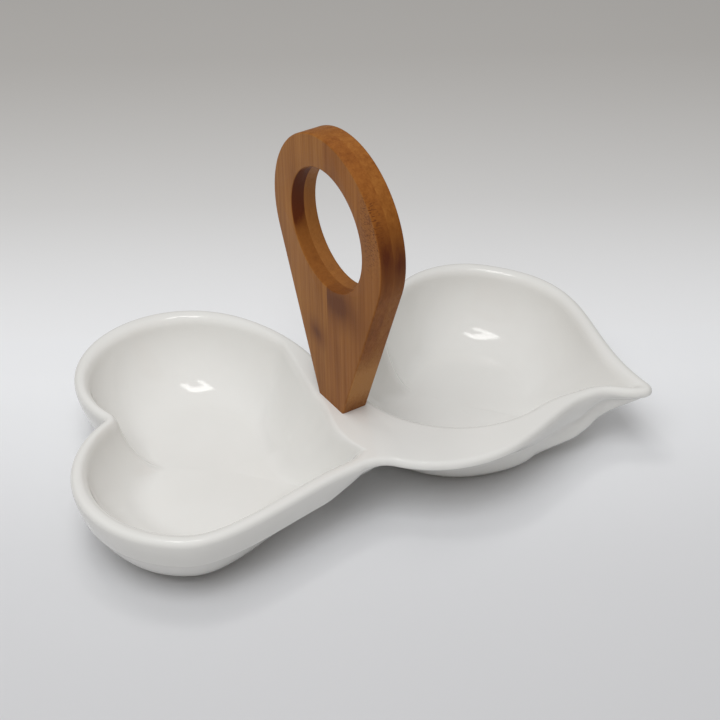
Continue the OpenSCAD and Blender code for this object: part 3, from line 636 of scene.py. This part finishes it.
class Nodes:
    """Short calls for building a node material."""

    def __init__(self, name):
        self.mat = bpy.data.materials.new(name)
        self.mat.use_nodes = True
        self.tree = self.mat.node_tree
        self.shader = self.tree.nodes["Principled BSDF"]
        self.coord = self.tree.nodes.new("ShaderNodeTexCoord").outputs["Object"]

    def link(self, a, b):
        self.tree.links.new(a, b)

    def node(self, kind, inputs, **props):
        n = self.tree.nodes.new(kind)
        for k, v in props.items():
            setattr(n, k, v)
        for k, v in inputs.items():
            if hasattr(v, "is_output"):
                self.link(v, n.inputs[k])
            else:
                n.inputs[k].default_value = v
        return n

    def scaled(self, scale, place=(0, 0, 0), source=None):
        n = self.node("ShaderNodeMapping", {"Vector": source or self.coord, "Scale": scale,
                                            "Location": place})
        return n.outputs["Vector"]

    def noise(self, vector, detail=4.0, rough=0.55):
        n = self.node("ShaderNodeTexNoise", {"Vector": vector, "Scale": 1.0, "Detail": detail,
                                             "Roughness": rough})
        return n.outputs["Fac"]

    def ramp(self, value, stops, run="LINEAR"):
        n = self.node("ShaderNodeValToRGB", {"Fac": value})
        n.color_ramp.interpolation = run
        e = n.color_ramp.elements
        while len(e) < len(stops):
            e.new(0.5)
        for item, (position, colour) in zip(e, stops):
            item.position = position
            item.color = (*colour, 1)
        return n.outputs["Color"]

    def tones(self, value, pair):
        """A noise as a colour between the two of a pair."""
        return self.ramp(value, [(NOISE_LOW, pair[0]), (NOISE_HIGH, pair[1])])

    def mix(self, value, a, b, kind="MIX"):
        a, b = (v if hasattr(v, "is_output") else (*v, 1) for v in (a, b))
        n = self.node("ShaderNodeMix", {MIX_FACTOR: value, MIX_A: a, MIX_B: b},
                      data_type="RGBA", blend_type=kind)
        return n.outputs[MIX_OUT]

    def math(self, kind, a, b=0.5, clamp=False):
        return self.node("ShaderNodeMath", {0: a, 1: b}, operation=kind, use_clamp=clamp).outputs[0]

    def vector(self, kind, a, b):
        return self.node("ShaderNodeVectorMath", {0: a, 1: b}, operation=kind).outputs[0]

    def axis(self, vector, name):
        return self.node("ShaderNodeSeparateXYZ", {"Vector": vector}).outputs[name]

    def span(self, value, low, high, to_low, to_high):
        n = self.node("ShaderNodeMapRange", {"Value": value, "From Min": low, "From Max": high,
                                             "To Min": to_low, "To Max": to_high})
        return n.outputs["Result"]

    def spread(self, value, pair):
        """A noise as a value between the two of a pair."""
        return self.span(value, NOISE_LOW, NOISE_HIGH, *pair)

    def bump(self, height, strength, distance):
        n = self.node("ShaderNodeBump", {"Height": height, "Strength": strength,
                                         "Distance": distance})
        self.link(n.outputs["Normal"], self.shader.inputs["Normal"])

    def blob(self, middle, size, source):
        """1 at the middle of an ellipsoid, falling to 0 at its surface."""
        scale = tuple(1 / s for s in size)
        place = tuple(-m / s for m, s in zip(middle, size))
        n = self.node("ShaderNodeTexGradient", {"Vector": self.scaled(scale, place, source)},
                      gradient_type="QUADRATIC_SPHERE")
        return n.outputs["Fac"]


def even(scale):
    return (scale, scale, scale)


def dress(obj, mat):
    obj.data.materials.clear()
    obj.data.materials.append(mat)
    for p in obj.data.polygons:
        p.material_index = 0


def glaze():
    """Gloss glaze over a warm white body, with bare biscuit on the foot."""
    m = Nodes("white_glaze")
    s = m.shader.inputs
    soft = m.noise(m.scaled(even(GLAZE_SOFT)), detail=3)
    fine = m.noise(m.scaled(even(GLAZE_FINE)), detail=2)
    white = m.mix(1.0, m.tones(soft, GLAZE_TONES), m.ramp(fine, SPECK_STOPS), "MULTIPLY")
    bare = m.span(m.axis(m.coord, "Z"), BARE_LOW, BARE_HIGH, 1.0, 0.0)
    biscuit = m.tones(m.noise(m.scaled(even(BISCUIT_GRAIN))), BISCUIT_TONES)
    m.link(m.mix(bare, white, biscuit), s["Base Color"])
    wet = m.spread(soft, GLAZE_ROUGH)
    m.link(m.math("ADD", wet, m.math("MULTIPLY", bare, BARE_ROUGH)), s["Roughness"])
    s["IOR"].default_value = GLAZE_IOR
    m.bump(m.noise(m.scaled(even(GLAZE_WAVE)), detail=2), strength=0.06, distance=0.0012)
    return m.mat


def bamboo(name, seed, tones, patches):
    """Carbonised bamboo: fibres along Z, with node patches, and painted shade darkening the edges
    of the board.
    """
    m = Nodes(name)
    s = m.shader.inputs
    light, mid, dark = tones
    warp = m.node("ShaderNodeTexNoise", {"Vector": m.scaled(WARP_GRAIN, (seed, seed * 2, 0)),
                                         "Scale": 1.0, "Detail": 2.0}).outputs["Color"]

    def shaken(amount):
        """The object's coordinates, moved about by the warp."""
        centred = m.vector("ADD", warp, even(-0.5))
        return m.vector("ADD", m.coord, m.vector("MULTIPLY", centred, amount))

    def share(value, part):
        return m.math("MULTIPLY", value, part)

    place, ragged = shaken(FIBRE_SHAKE), shaken(PATCH_SHAKE)
    fibre = m.noise(m.scaled(FIBRE_GRAIN, (seed * 3, 0, seed), place), detail=5, rough=0.6)
    bundle = m.noise(m.scaled(BUNDLE_GRAIN, (0, seed * 5, seed), place), detail=3)
    cloud = m.noise(m.scaled(CLOUD_GRAIN, (seed, 0, seed * 7), place), detail=3)
    grain = m.math("ADD", share(fibre, FIBRE_SHARE), share(bundle, BUNDLE_SHARE))
    tone = m.math("ADD", share(grain, GRAIN_SHARE), share(cloud, CLOUD_SHARE))
    colour = m.ramp(tone, [(TONE_DARK, dark), (TONE_MID, mid), (TONE_LIGHT, light)])
    normal = m.node("ShaderNodeTexCoord", {}).outputs["Normal"]
    edge = m.span(m.math("ABSOLUTE", m.axis(normal, "X")), EDGE_FULL, EDGE_NONE, 1.0, 0.0)
    # Painted shade: every edge face of the board darker than its front and back faces
    colour = m.mix(edge, colour, m.mix(1.0, colour, EDGE_PAINTED_SHADE, "MULTIPLY"))
    dash_noise = m.noise(m.scaled(DASH_GRAIN, (seed, seed, 0)), detail=2)
    dashes = m.span(dash_noise, DASH_NONE, DASH_FULL, 0.0, 1.0)
    streak = m.spread(fibre, STREAK)
    for middle, size, strength, shade, where in patches:
        middle, size = (tuple(v * MM for v in lengths) for lengths in (middle, size))
        mask = m.blob(middle, size, m.coord if where == "edge" else ragged)
        mask = m.math("MULTIPLY", m.math("MULTIPLY", mask, streak), strength, clamp=True)
        if where == "edge":
            mask = m.math("MULTIPLY", mask, edge)
        if where == "dashes":
            mask = m.math("MULTIPLY", mask, dashes)
        colour = m.mix(mask, colour, shade)
    m.link(colour, s["Base Color"])
    m.link(m.spread(fibre, BAMBOO_ROUGH), s["Roughness"])
    s["Specular IOR Level"].default_value = BAMBOO_SPECULAR
    m.bump(fibre, strength=0.25, distance=0.0004)
    return m.mat


def steel():
    """Brushed steel of the screws."""
    m = Nodes("screw_steel")
    s = m.shader.inputs
    brushed = m.noise(m.scaled(STEEL_GRAIN), detail=3)
    m.link(m.tones(brushed, STEEL_TONES), s["Base Color"])
    m.link(m.spread(brushed, STEEL_ROUGH), s["Roughness"])
    s["Metallic"].default_value = 1.0
    m.bump(brushed, strength=0.1, distance=0.0001)
    return m.mat


def rubber():
    """Matte rubber of the washers."""
    m = Nodes("washer_rubber")
    s = m.shader.inputs
    grain = m.noise(m.scaled(even(RUBBER_GRAIN)), detail=3)
    m.link(m.tones(grain, RUBBER_TONES), s["Base Color"])
    m.link(m.spread(grain, RUBBER_ROUGH), s["Roughness"])
    m.bump(grain, strength=0.1, distance=0.0001)
    return m.mat


def on_handle(y, h, x=0.0):
    """A place on the handle, in row millimetres, from its own width and height."""
    return (SHIFT[0] + x, SHIFT[1] + y, RIM_HEIGHT + h)


# Patches on the strips: middle, half sizes in millimetres, strength, shade, and where they show
HOLE_WALL = (on_handle(0, RING_HEIGHT), (200, 40, 40), 4.0)
FRONT_LEFT_PATCHES = [
    (on_handle(9, 32, -6), (8, 10, 10), 1.1, NODE_SHADE, "all"),
    (*HOLE_WALL, HOLE_SHADE, "edge"),
    # Painted shade: a dark block on the upper left of the hole's inner wall
    (on_handle(25, RING_HEIGHT + 8, -6), (14, 14, 24), 9.0, DEEP_PAINTED_SHADE, "edge")]
FRONT_RIGHT_PATCHES = [
    (on_handle(-8, 54, -8), (13, 30, 17), 1.7, NODE_SHADE, "all"),
    (on_handle(-16, 22, -3), (20, 14, 40), 2.0, EDGE_PALE, "edge"),
    (on_handle(-34, RING_HEIGHT + 16, -10), (12, 13, 32), 4.0, NODE_SHADE, "dashes"),
    (*HOLE_WALL, HOLE_SHADE, "edge"),
    # Painted shade: the ring's right edge darker at its side
    (on_handle(-40, 92, -3), (12, 12, 26), 1.2, DEEP_PAINTED_SHADE, "edge")]
BACK_LEFT_PATCHES = [
    (on_handle(20, 45, 6), (9, 14, 10), 1.1, NODE_SHADE, "all"),
    (*HOLE_WALL, HOLE_PALE, "edge")]
BACK_RIGHT_PATCHES = [
    (on_handle(-12, 60, 6), (9, 18, 12), 1.4, NODE_SHADE, "all"),
    (*HOLE_WALL, HOLE_PALE, "edge"),
    (on_handle(-16, 22, 3), (20, 14, 40), 2.0, EDGE_PALE, "edge"),
    # Painted shade: the ring's right edge darker at its side
    (on_handle(-40, 88, 3), (12, 12, 24), 1.2, DEEP_PAINTED_SHADE, "edge")]

dress(dish, glaze())
dress(strips["front_left"], bamboo("bamboo_a", 1.3, PLAIN_TONES, FRONT_LEFT_PATCHES))
dress(strips["front_right"], bamboo("bamboo_b", 4.1, DEEP_TONES, FRONT_RIGHT_PATCHES))
dress(strips["back_left"], bamboo("bamboo_c", 7.7, PALE_TONES, BACK_LEFT_PATCHES))
dress(strips["back_right"], bamboo("bamboo_d", 9.9, PLAIN_TONES, BACK_RIGHT_PATCHES))
dress(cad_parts["fixing_screws"], steel())
dress(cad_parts["screw_washers"], rubber())

# Floor: a sheet just under the foot, its colour painted with light and shade along a heading close
# to the camera's: brighter in the middle, darker to the front, and darker and warmer to the back
FLOOR_HALF, FLOOR_Z = 4.0, -0.0002
FALL_HEADING, FALL_NEAR, FALL_FAR = (0.533, 0.846, 0.0), -0.20, 0.42
PAINTED_FALL_STOPS = [(0.0, (0.70, 0.695, 0.695)), (0.2, (0.78, 0.775, 0.775)),
              (0.36, (0.98, 0.98, 0.98)), (0.47, (1.05, 1.05, 1.05)),
              (0.68, (0.80, 0.785, 0.76)), (1.0, (0.58, 0.555, 0.52))]
PAPER_GRAIN, PAPER_ROUGH, PAPER_SPECULAR = 3, 0.9, 0.15
floor = make_object("floor", [(x * FLOOR_HALF, y * FLOOR_HALF, FLOOR_Z)
                              for x, y in ((-1, -1), (1, -1), (1, 1), (-1, 1))], [[0, 1, 2, 3]])
paper = Nodes("floor_paper")
sheet = paper.tones(paper.noise(paper.scaled(even(PAPER_GRAIN)), detail=3), PAPER_TONES)
away = paper.node("ShaderNodeVectorMath", {0: paper.coord, 1: FALL_HEADING},
                  operation="DOT_PRODUCT").outputs["Value"]
# Painted light and shade: the paper's colour scaled along the heading
shade = paper.ramp(paper.span(away, FALL_NEAR, FALL_FAR, 0.0, 1.0), PAINTED_FALL_STOPS, "B_SPLINE")
paper.link(paper.mix(1.0, sheet, shade, "MULTIPLY"), paper.shader.inputs["Base Color"])
paper.shader.inputs["Roughness"].default_value = PAPER_ROUGH
paper.shader.inputs["Specular IOR Level"].default_value = PAPER_SPECULAR
dress(floor, paper.mat)

# Light: a dim room with a warm horizon, a bright lamp overhead whose bar and two arms show in the
# glaze, and a soft lamp high at the front left that casts the shadows and shows in no reflection
SKY_LOW, SKY_HIGH, SKY_STRENGTH = (0.34, 0.295, 0.23, 1), (0.98, 0.99, 1.01, 1), 0.52
LAMP_HEIGHT, LAMP_COLOUR, LAMP_RADIANCE = 0.9, (1.0, 0.99, 0.97), 6.8
LAMP_BARS = (("lamp_bar", -0.09, 0.15, 0.27, 0.12), ("lamp_arm_left", -0.19, 0.03, 0.07, 0.12),
             ("lamp_arm_right", 0.01, 0.03, 0.07, 0.12))
SOFT_PLACE, SOFT_SIZE = (-0.50, -0.44, 1.22), (0.75, 0.75)
SOFT_POWER, SOFT_COLOUR = 8.3, (0.98, 0.99, 1.0)

world = bpy.data.worlds.new("studio")
bpy.context.scene.world = world
world.use_nodes = True
sky_tree = world.node_tree
sky = sky_tree.nodes["Background"]
sky_from = sky_tree.nodes.new("ShaderNodeTexCoord")
sky_height = sky_tree.nodes.new("ShaderNodeSeparateXYZ")
sky_ramp = sky_tree.nodes.new("ShaderNodeValToRGB")
for stop, colour in zip(sky_ramp.color_ramp.elements, (SKY_LOW, SKY_HIGH)):
    stop.color = colour
sky_tree.links.new(sky_from.outputs["Generated"], sky_height.inputs["Vector"])
sky_tree.links.new(sky_height.outputs["Z"], sky_ramp.inputs["Fac"])
sky_tree.links.new(sky_ramp.outputs["Color"], sky.inputs["Color"])
sky.inputs["Strength"].default_value = SKY_STRENGTH


def lamp(name, place, target, size, power, colour):
    data = bpy.data.lights.new(name, "AREA")
    data.shape, data.size, data.size_y = "RECTANGLE", size[0], size[1]
    data.energy, data.color = power, colour
    obj = bpy.data.objects.new(name, data)
    obj.location = place
    obj.rotation_euler = (Vector(target) - Vector(place)).to_track_quat("-Z", "Y").to_euler()
    bpy.context.scene.collection.objects.link(obj)
    return obj


for name, x, y, wide, deep in LAMP_BARS:
    lamp(name, (x, y, LAMP_HEIGHT), (x, y, 0), (wide, deep),
         LAMP_RADIANCE * math.pi * wide * deep, LAMP_COLOUR)
soft_lamp = lamp("soft_left", SOFT_PLACE, (0, 0, 0), SOFT_SIZE, SOFT_POWER, SOFT_COLOUR)
soft_lamp.visible_glossy = False

# Camera at the photograph's angle, fitted to the handle's own lines: lengths in millimetres,
# turns in degrees
PHOTO_PX, FOCAL_PX, SENSOR = 720, 1654.0, 36.0
PITCH, SWING, ROLL = 34.8, 32.2, -1.08
AIM_X, AIM_Y, DISTANCE = -7.6, 16.7, 718.0
CLIP_NEAR, CLIP_FAR = 0.01, 50

pitch, swing, roll = math.radians(PITCH), math.radians(SWING), math.radians(ROLL)
right = np.array([math.cos(swing), -math.sin(swing), 0])
ahead = np.array([math.sin(swing), math.cos(swing), 0])
forward = ahead * math.cos(pitch) - np.array([0, 0, math.sin(pitch)])
up = ahead * math.sin(pitch) + np.array([0, 0, math.cos(pitch)])
turn = np.array([[math.cos(roll), -math.sin(roll), 0],
                 [math.sin(roll), math.cos(roll), 0], [0, 0, 1]])
view = turn @ np.stack([right, -up, forward])
place = -view.T @ np.array([AIM_X, AIM_Y, DISTANCE])
place = (place + np.array([SHIFT[0], SHIFT[1], RIM_HEIGHT])) * MM
camera_data = bpy.data.cameras.new("camera")
camera_data.sensor_width = SENSOR
camera_data.lens = FOCAL_PX / PHOTO_PX * SENSOR
camera_data.clip_start, camera_data.clip_end = CLIP_NEAR, CLIP_FAR
camera = bpy.data.objects.new("camera", camera_data)
camera.matrix_world = Matrix([[view[0][i], -view[1][i], -view[2][i], place[i]] for i in range(3)]
                             + [[0, 0, 0, 1]])
bpy.context.scene.collection.objects.link(camera)
bpy.context.scene.camera = camera
bpy.context.scene.view_settings.view_transform = "Standard"
